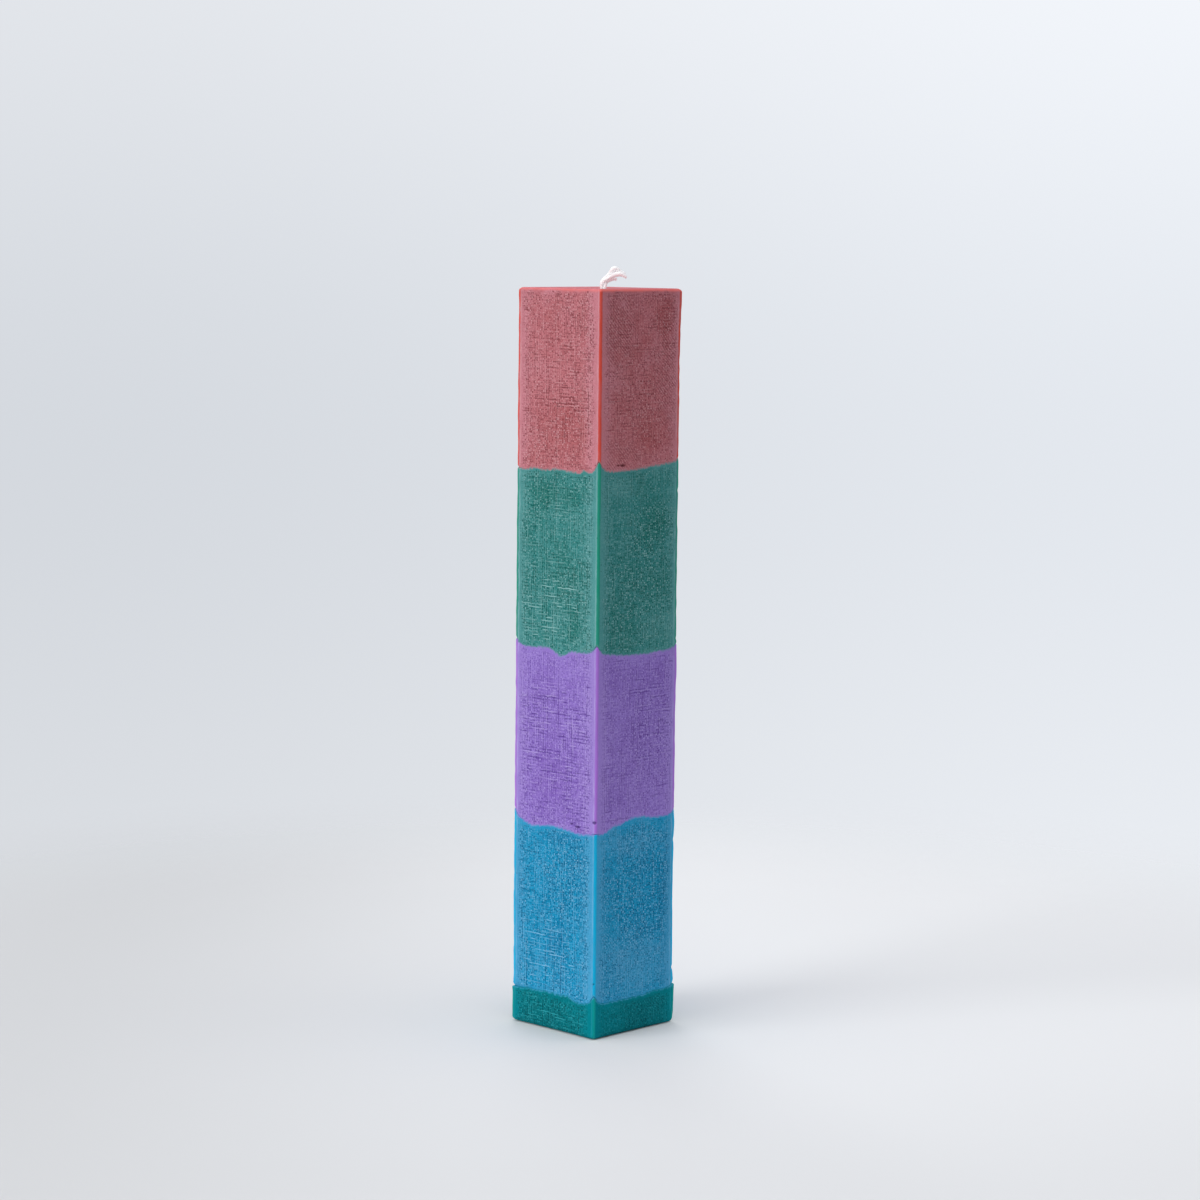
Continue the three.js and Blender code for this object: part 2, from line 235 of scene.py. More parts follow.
def cloud(at, across, up, seed):
    """Random values from -1 to 1 in soft spots, across by up millimetres, that close round the candle."""
    place, height = at
    count = max(4, round(FACES * SIDE / across))
    grid = np.random.default_rng(seed).uniform(-1, 1, (int(PATTERN_HEIGHT / up) + 3, count))
    right = place / FACES * count
    above = np.clip(height, 0, PATTERN_HEIGHT) / up
    column = np.floor(right).astype(int)
    row = np.floor(above).astype(int)
    beside = smooth(0, 1, right - column)
    ahead = smooth(0, 1, above - row)
    low = grid[row, column % count] * (1 - beside) + grid[row, (column + 1) % count] * beside
    high = grid[row + 1, column % count] * (1 - beside) + grid[row + 1, (column + 1) % count] * beside
    return low * (1 - ahead) + high * ahead


def clouds(layers, at, seed=0):
    """Several clouds together, each with its own strength."""
    return sum(strength * cloud(at, across, up, seed + own) for strength, across, up, own in layers)


def lengthwise(index, run, length, seed):
    """Random values from -1 to 1 that change softly along each thread, and differ from thread to thread."""
    grid = np.random.default_rng(seed).uniform(-1, 1, (THREAD_COUNT, int(THREAD_LENGTH / length) + 3))
    row = np.clip(index.astype(int) + SPARE_THREADS, 0, THREAD_COUNT - 1)
    passed = np.clip(run, 0, THREAD_LENGTH) / length
    step = np.floor(passed).astype(int)
    ahead = smooth(0, 1, passed - step)
    return grid[row, step] * (1 - ahead) + grid[row, step + 1] * ahead


def apart(place, other):
    """Distance between two places, along the faces, in millimetres."""
    return ((place - other + FACES / 2) % FACES - FACES / 2) * SIDE


def oval(at, middle, level, across, up):
    """1 in the middle of a soft oval, falling away over its half width and half height."""
    place, height = at
    return np.exp(-((apart(place, middle) / across) ** 2 + ((height - level) / up) ** 2))


# The columns of points that all the wax shares

def make_columns():
    flat = HALF - EDGE_RADIUS
    even = np.linspace(-1, 1, FACE_STEPS + 1)
    shares = even * (1 - EDGE_CROWDING) + np.sin(even * math.pi / 2) * EDGE_CROWDING
    turns = np.arange(1, EDGE_STEPS) / EDGE_STEPS
    face = np.repeat(np.arange(FACES), FACE_STEPS + EDGE_STEPS)
    share = np.tile(np.concatenate([shares, np.ones(EDGE_STEPS - 1)]), FACES)
    turn = np.tile(np.concatenate([np.zeros(FACE_STEPS + 1), turns]), FACES)
    place = (face + 0.5 + (flat * share + 2 * EDGE_RADIUS * turn) / SIDE) % FACES
    return face, share, turn * math.pi / 2, place


FACE, SHARE, TURN, PLACE = make_columns()
QUARTER = (FACE - 1) * (math.pi / 2)
CORNER = np.round(PLACE)
PAST_CORNER = (PLACE - CORNER) * SIDE  # distance from the middle of the nearest upright edge, with its sign
NOTCH = SHOULDER_INSET * (FACE_NOTCH + (1 - FACE_NOTCH) * np.exp(-((PAST_CORNER / NOTCH_REACH) ** 2)))


def outline(half):
    """Points on a square outline with rounded edges and drawn-in faces, half its side across."""
    flat = half - EDGE_RADIUS
    outward = flat + EDGE_RADIUS * np.cos(TURN) - FACE_HOLLOW * (1 - SHARE**2)
    sideways = flat * SHARE + EDGE_RADIUS * np.sin(TURN)
    x = outward * np.cos(QUARTER) - sideways * np.sin(QUARTER)
    y = outward * np.sin(QUARTER) + sideways * np.cos(QUARTER)
    return x, y


def seam_rise(seam):
    """How far a seam's outer edge lies above its level, at each column."""
    drift = seam["drift"]
    rise = np.zeros_like(PLACE)
    for (low_place, low_rise), (high_place, high_rise) in zip([drift[-1], *drift[:-1]], drift):
        span = (high_place - low_place) % FACES
        passed = (PLACE - low_place) % FACES
        eased = low_rise + (high_rise - low_rise) * smooth(0, span, passed)
        rise = np.where(passed < span, eased, rise)
    climb = np.array(seam["climb"])[CORNER.astype(int) % FACES]
    rise += climb * np.exp((CLIMB_ROUND - np.hypot(PAST_CORNER, CLIMB_ROUND)) / CLIMB_REACH)
    for length, height in SEAM_RIPPLES:
        rise += height * cloud((PLACE, seam["level"]), length, up=10, seed=int(length * 10))
    return rise


def edge_of(seam):
    return seam["level"] + seam_rise(seam)


# Rows of points, from the wick hole out underneath a pour, up its wall and back over its top. A row is
# half the side of its outline, its share of the way from the hole to it, its height, and how far it takes
# part in the relief of the faces.

def seam_rows(seam, shares):
    rise = seam_rise(seam)
    for share in shares:
        dish = SEAM_DISH * (1 - share**2)
        yield HALF - NOTCH, share, seam["level"] + rise * share**2 - dish, 0


def shoulder_rows(seam):
    for part in np.arange(1, ROUND_STEPS) / ROUND_STEPS:
        yield HALF - NOTCH * (1 - part) ** 2, 1, edge_of(seam) + SHOULDER_HEIGHT * part, part


def wall_rows(half, low, high):
    count = round(float(np.mean(high - low)) / ROW_STEP)
    for part in np.linspace(0, 1, count + 1):
        yield half, 1, low + (high - low) * part, 1


def lip_rows(half, seam):
    for angle in np.arange(1, ROUND_STEPS) / ROUND_STEPS * math.pi / 2:
        inset = (half - HALF + NOTCH) * (1 - math.cos(angle))
        yield half - inset, 1, edge_of(seam) - LIP_HEIGHT * (1 - math.sin(angle)), math.cos(angle)


def round_rows(half, radius, level, way):
    """A quarter round between a flat face and the wall: way is 1 at the foot and -1 at the rim."""
    for angle in np.linspace(0, math.pi / 2, ROUND_STEPS + 1)[::way]:
        height = level + way * radius * (1 - math.cos(angle))
        yield half - radius * (1 - math.sin(angle)), 1, height, math.sin(angle) ** 2


def top_rows(half):
    for share in np.linspace(1, 0, TOP_ROWS)[1:]:
        yield half, share, TOP_LEVEL - TOP_DISH * (1 - share**2), 0


def wax_rows(pour):
    low, high = pour["low"], pour["high"]
    if low:
        half = HALF
        under = [*seam_rows(low, SEAM_SHARES), *shoulder_rows(low)]
        start = edge_of(low) + SHOULDER_HEIGHT
    else:
        half = HALF + BASE_PROUD
        foot = [(half - FOOT_RADIUS, share, 0, 0) for share in SEAM_SHARES[:-1]]
        under = [*foot, *round_rows(half, FOOT_RADIUS, 0, 1)]
        start = FOOT_RADIUS + ROW_STEP
    if high:
        stop = edge_of(high) - LIP_HEIGHT
        over = [*lip_rows(half, high), *seam_rows(high, SEAM_SHARES[::-1])]
    else:
        stop = TOP_LEVEL - RIM_RADIUS - ROW_STEP
        over = [*round_rows(half, RIM_RADIUS, TOP_LEVEL, -1), *top_rows(half - RIM_RADIUS)]
    return [*under, *wall_rows(half, start, stop), *over]


def row_points(rows):
    """Points of the rows, and how far each of them takes part in the relief."""
    half, share, height, wall = (np.array([value + 0 * PLACE for value in column]) for column in zip(*rows))
    outer_x, outer_y = outline(half)
    angle = np.arctan2(outer_y - WICK_Y, outer_x - WICK_X)
    hole_x = WICK_X + HOLE_RADIUS * np.cos(angle)
    hole_y = WICK_Y + HOLE_RADIUS * np.sin(angle)
    x = hole_x + (outer_x - hole_x) * share
    y = hole_y + (outer_y - hole_y) * share
    return x, y, height, wall


# What the surface of a pour looks like at each point

def patches(pour, kind, at):
    """How strongly the patches of one kind show, each a soft oval on its own face."""
    place, height = at
    total = np.zeros_like(height)
    for middle, level, across, up, strength in pour["patches"].get(kind, []):
        out = (apart(place, middle) / across) ** 2 + ((height - level) / up) ** 2
        total += strength * np.exp(-(out**1.5)) * (np.floor(place) == math.floor(middle))
    return total


def surroundings(pour, at):
    """Distances to the borders of the face, and the soft patterns that break them up."""
    low, high, seed = pour["low"], pour["high"], pour["seed"]
    height = at[1]
    return SimpleNamespace(
        to_edge=np.maximum(abs(PAST_CORNER) - EDGE_RADIUS, 0),
        to_low=height - edge_of(low) if low else height + FAR,
        to_high=edge_of(high) - height if high else TOP_LEVEL - height,
        fine=cloud(at, 2.5, 2, seed),
        middling=cloud(at, 6, 5, seed + 1),
        broad=cloud(at, 15, 22, seed + 2),
    )


def bare_and_bloom(pour, at, near):
    """How bare and how pale the wax is on a face."""
    fine, middling, broad = near.fine, near.middling, near.broad
    border = 1 - smooth(*BORDER_BLOOM, near.to_edge + 0.9 * middling + 0.4 * fine)
    under_lip = np.exp(-np.maximum(near.to_high, 0) / LIP_BLOOM) * (0.6 + 0.4 * middling)
    over_seam = np.exp(-np.maximum(near.to_low, 0) / SEAM_BLOOM) * (0.7 + 0.3 * middling)
    bare = patches(pour, "bare", at) + pour["bare"] * smooth(-0.2, 0.9, broad + 0.4 * middling)
    bloom = np.maximum.reduce([0.85 * border, under_lip, over_seam])
    bloom = bloom + patches(pour, "bloom", at) + 0.35 * smooth(0, 1, middling - 0.4 * broad)
    return bare, bloom


def bead_and_highlight(pour, at, wall, near):
    """The bare beads along the upright edges and the rim, and the painted highlights by them: pale lines and
    spots.
    """
    seed = pour["seed"]
    past = PAST_CORNER + clouds(BEAD_WOBBLE, at, seed)
    starts, stops, highlight_places = np.array(BEADS).T[:, CORNER.astype(int) % FACES]
    bead = smooth(*BEAD_START, past - starts) * smooth(*BEAD_STOP, past - stops)
    bead = bead * (0.86 + 0.14 * cloud(at, 20, 5, seed + 5))
    # painted highlight: a pale line beside each edge bead, where the lamps would glint
    painted_highlight = np.exp(-(((past - highlight_places) / HIGHLIGHT_WIDTH) ** 2))
    painted_highlight = painted_highlight * np.clip(0.6 + 0.5 * cloud(at, 20, 3.6, seed + 6), 0, 1)
    if not pour["high"]:
        below_top = near.to_high + 0.3 * near.fine + 0.1 * near.middling
        rim = smooth(RIM_BEAD + 0.8, RIM_BEAD - 0.6, below_top) * smooth(-0.2, 0.6, wall)
        # painted reflection: the rim is less bare, so paler, over -Y and +Y, and paler still all along
        bead = np.maximum(bead, rim * np.where(np.floor(at[0]) % 2 == 0, *RIM_STRENGTHS))
        painted_highlight = np.maximum(painted_highlight, RIM_REFLECTION * rim)
    if pour["low"]:
        # painted highlight: a pale spot where each climb ends in an upright edge
        above = (near.to_low - GLINT_LEVEL) / GLINT_HEIGHT
        painted_highlight = np.maximum(painted_highlight, GLINT_STRENGTH * np.exp(-((PAST_CORNER / GLINT_WIDTH) ** 2) - above**2))
    return bead, painted_highlight


def slub_marks(pour, at):
    """The thick warp threads, which come and go."""
    total = sum(strength * np.exp(-((apart(at[0], middle) / SLUB_WIDTH) ** 2)) for middle, strength in SLUBS)
    return total * np.clip(0.2 + 0.8 * cloud(at, 50, 6, pour["seed"] + 3), 0, 1)


def marks(pour, at, wall):
    """The masks that the relief and the material share."""
    near = surroundings(pour, at)
    bare, bloom = bare_and_bloom(pour, at, near)
    bead, painted_highlight = bead_and_highlight(pour, at, wall, near)
    upright = smooth(0, 0.3, wall)
    inner = smooth(*PRINT_BORDER, near.to_edge + near.middling)
    inner = inner * smooth(0, PRINT_TOP, near.to_high + near.fine)
    printed = np.array(PRINT_BY_FACE)[np.floor(at[0]).astype(int) % FACES] * inner * wall
    marked = {
        "bare": np.clip(TOP_BARE + (bare - TOP_BARE) * upright, 0, 1),
        "bloom": np.clip(TOP_BLOOM + (bloom - TOP_BLOOM) * upright, 0, 1),
        "print": printed,
        "bead": bead * upright,
        # painted highlights: pale lines and spots by the edges, the rim and the climbs
        "painted_highlight": np.clip(painted_highlight * upright, 0, 1) * wall,
        "slub": np.clip(slub_marks(pour, at), 0, 1) * wall * inner,
        # depth of the dents, which also sets the painted shade in them
        "dent_and_shade": wall * np.maximum.reduce([depth * oval(at, *where) for *where, depth in DENTS]),
        "to_low": np.clip(near.to_low, -1, FAR),
        "to_high": np.clip(near.to_high, -1, FAR),
    }
    for kind in ("groove", "thread", "speck", "twill"):
        strength = pour[kind] * (0.8 + 0.5 * near.broad) + patches(pour, kind, at)
        marked[kind] = np.clip(strength * (0.85 + 0.5 * near.fine), 0, 1) * printed
    return marked


def thread_marks(index, run, short, long, seed):
    """How clearly each thread shows along its run: broken up over a short length, and strong or weak over
    a long one."""
    broken = smooth(-0.5, 0.3, lengthwise(index, run, short, seed))
    strong = smooth(-0.1, 0.8, lengthwise(index, run, long, seed + 20))
    return broken * (0.25 + 0.75 * strong)


def weave(at):
    """The print of the cloth: counts of the weft threads up the candle, of the warp threads round it and of
    the slanting ridges, and how clearly each line along or between the threads shows."""
    place, height = at
    run = place * SIDE
    weft = height / THREAD_PITCH + clouds(WEFT_WANDER, at)
    warp = run / THREAD_PITCH + clouds(WARP_WANDER, at)
    return {
        "weft": weft,
        "warp": warp,
        "slant": (run + height) / math.sqrt(2) / TWILL_PITCH + clouds(TWILL_WANDER, at),
        "dash": thread_marks(np.round(weft), run, DASH_LENGTH, WEFT_RUN, 74),
        "ridge": thread_marks(np.floor(weft), run, DASH_LENGTH, WEFT_RUN, 75),
        "streak": thread_marks(np.round(warp), height, STREAK_LENGTH, WARP_RUN, 76),
        "rib": thread_marks(np.floor(warp), height, STREAK_LENGTH, WARP_RUN, 78),
    }


def relief(marked, at):
    """How far the wall stands out past its plain outline."""
    place, height = at
    between = abs(2 * (marked["weft"] % 1) - 1)
    printed = np.maximum(marked["groove"], marked["speck"] * 0.6)
    groove = GROOVE_DEPTH * printed * marked["dash"] * smooth(0.2, 1, between)
    thread = THREAD_HEIGHT * marked["thread"] * marked["ridge"] * smooth(0.8, 0.1, between)
    waves = clouds(FACE_WAVES, at) + marked["bead"] * clouds(BEAD_WAVES, at)
    worn = WORN_DEPTH * np.exp(-abs(apart(place, WORN_EDGE)) / WORN_WIDTH) * smooth(*WORN_FROM, height)
    swell = sum(rise * oval(at, *where) for *where, rise in SWELLS)
    return thread - groove + waves + swell + SLUB_HEIGHT * marked["slub"] - marked["dent_and_shade"] - worn


# Meshes

def add_object(name, data):
    """Puts a mesh, a lamp or the camera into the scene."""
    added = bpy.data.objects.new(name, data)
    bpy.context.scene.collection.objects.link(added)
    return added


def make_mesh(name, points, faces):
    """A smooth mesh object, from points in millimetres."""
    mesh = bpy.data.meshes.new(name)
    mesh.from_pydata((points * MM).tolist(), [], faces)
    mesh.shade_smooth()
    return add_object(name, mesh)


def dress(piece, materials, second):
    """Gives a piece its materials. second says which of its faces have the second one."""
    for material in materials:
        piece.data.materials.append(material)
    piece.data.polygons.foreach_set("material_index", second.astype(np.int32))
    return piece


def quads(rings, around):
    """Faces between closed rings of points, and from the last ring back to the first."""
    a = np.arange(rings * around).reshape(rings, around)
    b = np.roll(a, -1, axis=1)
    return np.stack([a, b, np.roll(b, -1, axis=0), np.roll(a, -1, axis=0)], axis=2)


def wax_piece(pour, under, over):
    x, y, height, wall = row_points(wax_rows(pour))
    at = (np.broadcast_to(PLACE, height.shape), height)
    marked = {**marks(pour, at, wall), **weave(at)}
    outwards = relief(marked, at) * wall
    x = x + outwards * np.cos(QUARTER + TURN)
    y = y + outwards * np.sin(QUARTER + TURN)
    faces = quads(*height.shape).reshape(-1, 4)
    piece = make_mesh(pour["name"], np.stack([x, y, height], axis=2).reshape(-1, 3), faces.tolist())
    for key, values in marked.items():
        layer = piece.data.attributes.new(key, "FLOAT", "POINT")
        layer.data.foreach_set("value", np.ascontiguousarray(values, np.float32).ravel())
    glossy = (marked["bead"] * np.sign(wall)).ravel()[faces].min(axis=1) > GLOSSY_BEAD
    return dress(piece, [wax_material(pour, under, over, kind) for kind in GLOSS], glossy)


# Materials

def having(thing, **settings):
    for key, value in settings.items():
        setattr(thing, key, value)
    return thing


class Graph:
    """Short calls that add nodes to a material or to the world."""

    def __init__(self, owner):
        owner.use_nodes = True
        self.tree = owner.node_tree

    def fill(self, node, inputs):
        """Sets or links several inputs of a node, by name or number."""
        for key, value in inputs.items():
            if isinstance(value, bpy.types.NodeSocket):
                self.tree.links.new(value, node.inputs[key])
            else:
                node.inputs[key].default_value = value
        return node

    def node(self, kind, inputs=None, **settings):
        node = having(self.tree.nodes.new("ShaderNode" + kind), **settings)
        return self.fill(node, inputs or {})

    def shader(self, inputs):
        """Fills the material's own shader."""
        return self.fill(self.tree.nodes["Principled BSDF"], inputs)

    def mark(self, name):
        return self.node("Attribute", attribute_name=name).outputs["Fac"]

    def shares(self, **shares):
        """Marks of a piece, each times its share."""
        return [self.times(self.mark(name), share) for name, share in shares.items()]

    def math(self, operation, *values):
        return self.node("Math", dict(enumerate(values)), operation=operation).outputs[0]

    def chain(self, operation, values):
        total = values[0]
        for value in values[1:]:
            total = self.math(operation, total, value)
        return total

    def times(self, *values):
        return self.chain("MULTIPLY", values)

    def plus(self, *values):
        return self.chain("ADD", values)

    def most(self, *values):
        return self.chain("MAXIMUM", values)

    def ramp(self, value, low, high, to_low=0.0, to_high=1.0):
        ends = {"From Min": low, "From Max": high, "To Min": to_low, "To Max": to_high}
        return self.node("MapRange", {"Value": value, **ends}, interpolation_type="SMOOTHSTEP").outputs[0]

    def noise(self, scale, detail=1.0):
        inputs = {"Vector": self.place(), "Scale": scale, "Detail": detail}
        return self.node("TexNoise", inputs).outputs["Fac"]

    def random(self, x, y):
        """A random value for each pair of whole numbers."""
        pair = self.node("CombineXYZ", {"X": x, "Y": y}).outputs[0]
        return self.node("TexWhiteNoise", {"Vector": pair}).outputs["Value"]

    def mix(self, amount, low, high):
        return self.node("Mix", {"Factor": amount, 6: low, 7: high}, data_type="RGBA").outputs[2]

    def bump(self, height, distance):
        return self.node("Bump", {"Height": height, "Distance": distance}).outputs[0]

    def place(self):
        return self.node("TexCoord").outputs["Object"]

    def off_middle(self, count):
        """0 in the middle of a thread and 0.5 between two threads, from a count of the threads."""
        return self.math("ABSOLUTE", self.math("SUBTRACT", self.math("FRACT", count), 0.5))

    def axes(self, place):
        return self.node("SeparateXYZ", {0: place}).outputs

    def along(self, x, y, way):
        """Distance along a level direction."""
        return self.plus(self.times(x, way[0]), self.times(y, way[1]))

    def seen(self):
        """1 where the camera or a reflection looks, and 0 where light falls."""
        path = self.node("LightPath").outputs
        return self.most(path["Is Camera Ray"], path["Is Glossy Ray"])

    def choose(self, amount, low, high, output):
        """Mixes two shaders into the output."""
        inputs = {0: amount, 1: low.outputs[0], 2: high.outputs[0]}
        mixed = self.node("MixShader", inputs).outputs[0]
        self.fill(self.tree.nodes[output], {"Surface": mixed})

    def colours(self, value, stops):
        """Colours that change along a value, from pairs of a value from 0 to 1 and a colour."""
        node = self.node("ValToRGB", {"Fac": value})
        elements = node.color_ramp.elements
        node.color_ramp.interpolation = "B_SPLINE"
        elements[0].position, elements[1].position = stops[0][0], stops[-1][0]
        elements[0].color, elements[1].color = colour(*stops[0][1]), colour(*stops[-1][1])
        for position, tint in stops[1:-1]:
            elements.new(position).color = colour(*tint)
        return node.outputs["Color"]


GLOSS = {"face": (0.03, 0.65), "edge": (0.1, 0.35)}  # specular level and roughness
MATT_ROUGHNESS = 0.7  # where the wax is printed
GLOSSY_BEAD = 0.3  # the edge material starts where the bead is this bare

# Noise in the materials, as its features to the metre
BEND_SCALE = 520
GRIT_SCALE = 1500
DUST_SCALE = 2300
BLOTCH_SCALE = 120
PORE_SCALE = 640
FILM_SCALE = 900
FIBRE_SCALE = 5200

# Lines along the threads. The pairs are distances from the middle of a thread, in pitches, between which
# a line sets in.
BETWEEN_THREADS = (0.27, 0.45)
ON_THREAD = (0.21, 0.03)
ON_DASH = (0.36, 0.1)
DASH_END = (0.5, 0.3)
THREAD_BEND = 0.13
LEAST_SPECK = 0.08  # how strongly the crossings show where no mark says more
LEAST_BUMP = 0.15  # and the threads
PRINT_BUMP = 0.12  # height of the print in the bump, in millimetres
FILM_EDGE = 0.75  # half the width over which one pour fades into the next


def crossings(g):
    """The finer plain weave. Where two threads cross, the upper one leaves a short dash along itself, paler
    or darker than the wax by a random value for each crossing."""
    bent = g.ramp(g.noise(BEND_SCALE), 0.3, 0.7, -THREAD_BEND, THREAD_BEND)
    weft = g.plus(g.times(g.mark("weft"), FINER_THREADS), bent)
    warp = g.plus(g.times(g.mark("warp"), FINER_THREADS), g.times(bent, -0.8))
    weft_count, warp_count = g.math("FLOOR", weft), g.math("FLOOR", warp)
    warp_over = g.math("GREATER_THAN", g.math("FRACT", g.times(g.plus(weft_count, warp_count), 0.5)), 0.25)
    weft_over = g.math("SUBTRACT", 1.0, warp_over)
    off_weft, off_warp = g.off_middle(weft), g.off_middle(warp)
    weft_dash = g.times(g.ramp(off_weft, *ON_DASH), g.ramp(off_warp, *DASH_END))
    warp_dash = g.times(g.ramp(off_warp, *ON_DASH), g.ramp(off_weft, *DASH_END))
    crossing = g.plus(g.times(warp_dash, warp_over), g.times(weft_dash, weft_over))
    return crossing, g.random(weft_count, warp_count)


def cloth_print(g):
    """The parts of the print that the colour and the bump share."""
    off_weft, off_warp = g.off_middle(g.mark("weft")), g.off_middle(g.mark("warp"))
    crossing, chance = crossings(g)
    grit = g.noise(GRIT_SCALE)
    return SimpleNamespace(
        groove=g.times(g.ramp(off_weft, *BETWEEN_THREADS), g.mark("dash")),
        ridge=g.times(g.ramp(off_weft, *ON_THREAD), g.mark("ridge")),
        streak=g.times(g.ramp(off_warp, *BETWEEN_THREADS), g.mark("streak")),
        rib=g.times(g.ramp(off_warp, *ON_THREAD), g.mark("rib")),
        crossing=crossing,
        chance=chance,
        grit=grit,
        dust=g.noise(DUST_SCALE),
        pores=g.ramp(g.noise(PORE_SCALE), 0.28, 0.19),
        slant=g.off_middle(g.mark("slant")),
        twill=g.times(g.mark("twill"), g.ramp(grit, 0.35, 0.6)),
        speck=g.plus(*g.shares(speck=1.1, print=0.55), LEAST_SPECK),
    )


def dark_lines(g, cloth):
    dark_crossing = g.times(cloth.crossing, g.ramp(cloth.chance, 0.5, 0.12))
    dark_grit = g.most(g.times(g.ramp(cloth.grit, 0.5, 0.34), 0.4), dark_crossing)
    dark = g.most(
        g.times(cloth.groove, g.plus(*g.shares(groove=1.2, print=0.2))),
        g.times(cloth.streak, g.plus(*g.shares(groove=0.7, thread=0.7, print=0.3))),
        g.times(dark_grit, cloth.speck),
        g.times(cloth.twill, g.ramp(cloth.slant, 0.2, 0.45)),
        cloth.pores,
    )
    return g.math("MINIMUM", dark, 1.0)


def pale_lines(g, cloth):
    pale_crossing = g.times(cloth.crossing, g.ramp(cloth.chance, 0.55, 1.0))
    pale_grit = g.most(g.times(g.ramp(cloth.grit, 0.5, 0.68), 0.25), g.times(pale_crossing, 0.8))
    pale = g.most(
        g.times(cloth.ridge, g.most(*g.shares(thread=0.9, groove=0.6, print=0.2))),
        g.times(cloth.rib, g.most(*g.shares(thread=0.5, groove=0.4, print=0.35))),
        g.times(pale_grit, cloth.speck, 0.8),
        g.times(cloth.twill, g.ramp(cloth.slant, 0.25, 0.05), 0.5),
        g.times(g.mark("slub"), 0.4),
    )
    return g.math("MINIMUM", pale, 1.0)


def wax_tint(g, pour, under, over, cloth):
    """The colour of a pour, from its bare wax up: bloom, print, beads, painted highlights and painted shade
    in dents. Each pour shows a little through the thin, broken edge of the next one, so that the seam is
    soft."""
    colours = {key: colour(*value) for key, value in pour["colours"].items()}
    depth = g.plus(g.mark("bare"), g.ramp(g.noise(BLOTCH_SCALE, 2.0), 0.3, 0.7, -0.15, 0.25))
    tint = g.mix(g.most(depth, 0.0), colours["body"], colours["bare"])
    bloom = g.times(g.mark("bloom"), g.ramp(cloth.dust, 0.3, 0.65, 0.6, 1.0))
    # painted shade: the deeper a dent, the more of the dark dent colour
    dent_and_shade = g.ramp(g.mark("dent_and_shade"), 0.15, 0.45, 0.0, 0.7)
    coats = [
        (bloom, "bloom"), (dark_lines(g, cloth), "groove"), (pale_lines(g, cloth), "speck"),
        # the painted highlights take the pale speck colour
        (g.mark("bead"), "bead"), (g.times(g.mark("painted_highlight"), 0.7), "speck"), (dent_and_shade, "dent_and_shade"),
    ]
    for amount, name in coats:
        tint = g.mix(amount, tint, colours[name])
    wander = g.ramp(g.noise(FILM_SCALE, 2.0), 0.3, 0.7, -0.35, 0.35)
    for mark, other, way in (("to_low", under, 1.0), ("to_high", over, -1.0)):
        if other:
            film = g.ramp(g.plus(g.mark(mark), g.times(wander, way)), FILM_EDGE, -FILM_EDGE)
            tint = g.mix(film, tint, colour(*other["colours"]["bloom"]))
    return tint


def wax_bump(g, cloth):
    shown = g.math("MINIMUM", g.plus(*g.shares(groove=1, thread=1, speck=0.5), LEAST_BUMP), 1.0)
    threads = g.plus(
        g.times(cloth.groove, -1.0), g.times(cloth.ridge, 0.5),
        g.times(cloth.streak, -0.5), g.times(cloth.rib, 0.3),
    )
    height = g.plus(
        g.times(threads, shown),
        g.times(cloth.crossing, g.math("SUBTRACT", cloth.chance, 0.5), 2.0, cloth.speck),
        g.times(cloth.dust, 0.25),
        g.times(cloth.twill, g.ramp(cloth.slant, 0.45, 0.05)),
        g.times(cloth.pores, -1.0),
    )
    return g.bump(height, PRINT_BUMP * MM)


def wax_material(pour, under, over, kind):
    """Wax with the print of a coarse plain weave, a pale bloom and bare, deeper coloured edges."""
    material = bpy.data.materials.new(pour["name"] + "_" + kind)
    g = Graph(material)
    cloth = cloth_print(g)
    specular, roughness = GLOSS[kind]
    g.shader({
        "Base Color": wax_tint(g, pour, under, over, cloth),
        "Normal": wax_bump(g, cloth),
        "Roughness": g.ramp(g.mark("bead"), 0.2, 0.8, MATT_ROUGHNESS, roughness),
        "Specular IOR Level": specular,
    })
    return material


PAINTED_GLOW = 0.12  # faint painted glow that makes the cotton brighter than the lamps light it
FIBRE_DEPTH = 2  # how far light goes between the fibres, in millimetres


def cotton_material(name, depth):
    """Soft bleached cotton, a little darker between its fibres, with a bright fuzz and a faint painted glow.
    depth is how much light goes into it."""
    material = bpy.data.materials.new(name)
    g = Graph(material)
    fibres = g.noise(FIBRE_SCALE, 4.0)
    g.shader({
        "Base Color": g.mix(g.ramp(fibres, 0.3, 0.6), colour(246, 251, 252), colour(250, 255, 255)),
        "Normal": g.bump(fibres, 0.03 * MM),
        "Roughness": 0.95,
        "Specular IOR Level": 0.1,
        "Subsurface Weight": depth,
        "Subsurface Radius": (1, 1, 1),
        "Subsurface Scale": FIBRE_DEPTH * MM,
        # painted glow, so that the cotton shows whiter than its light
        "Emission Color": (0.9, 0.96, 1, 1),
        "Emission Strength": PAINTED_GLOW,
        "Sheen Weight": 1,
        "Sheen Roughness": 0.6,
    })
    return material
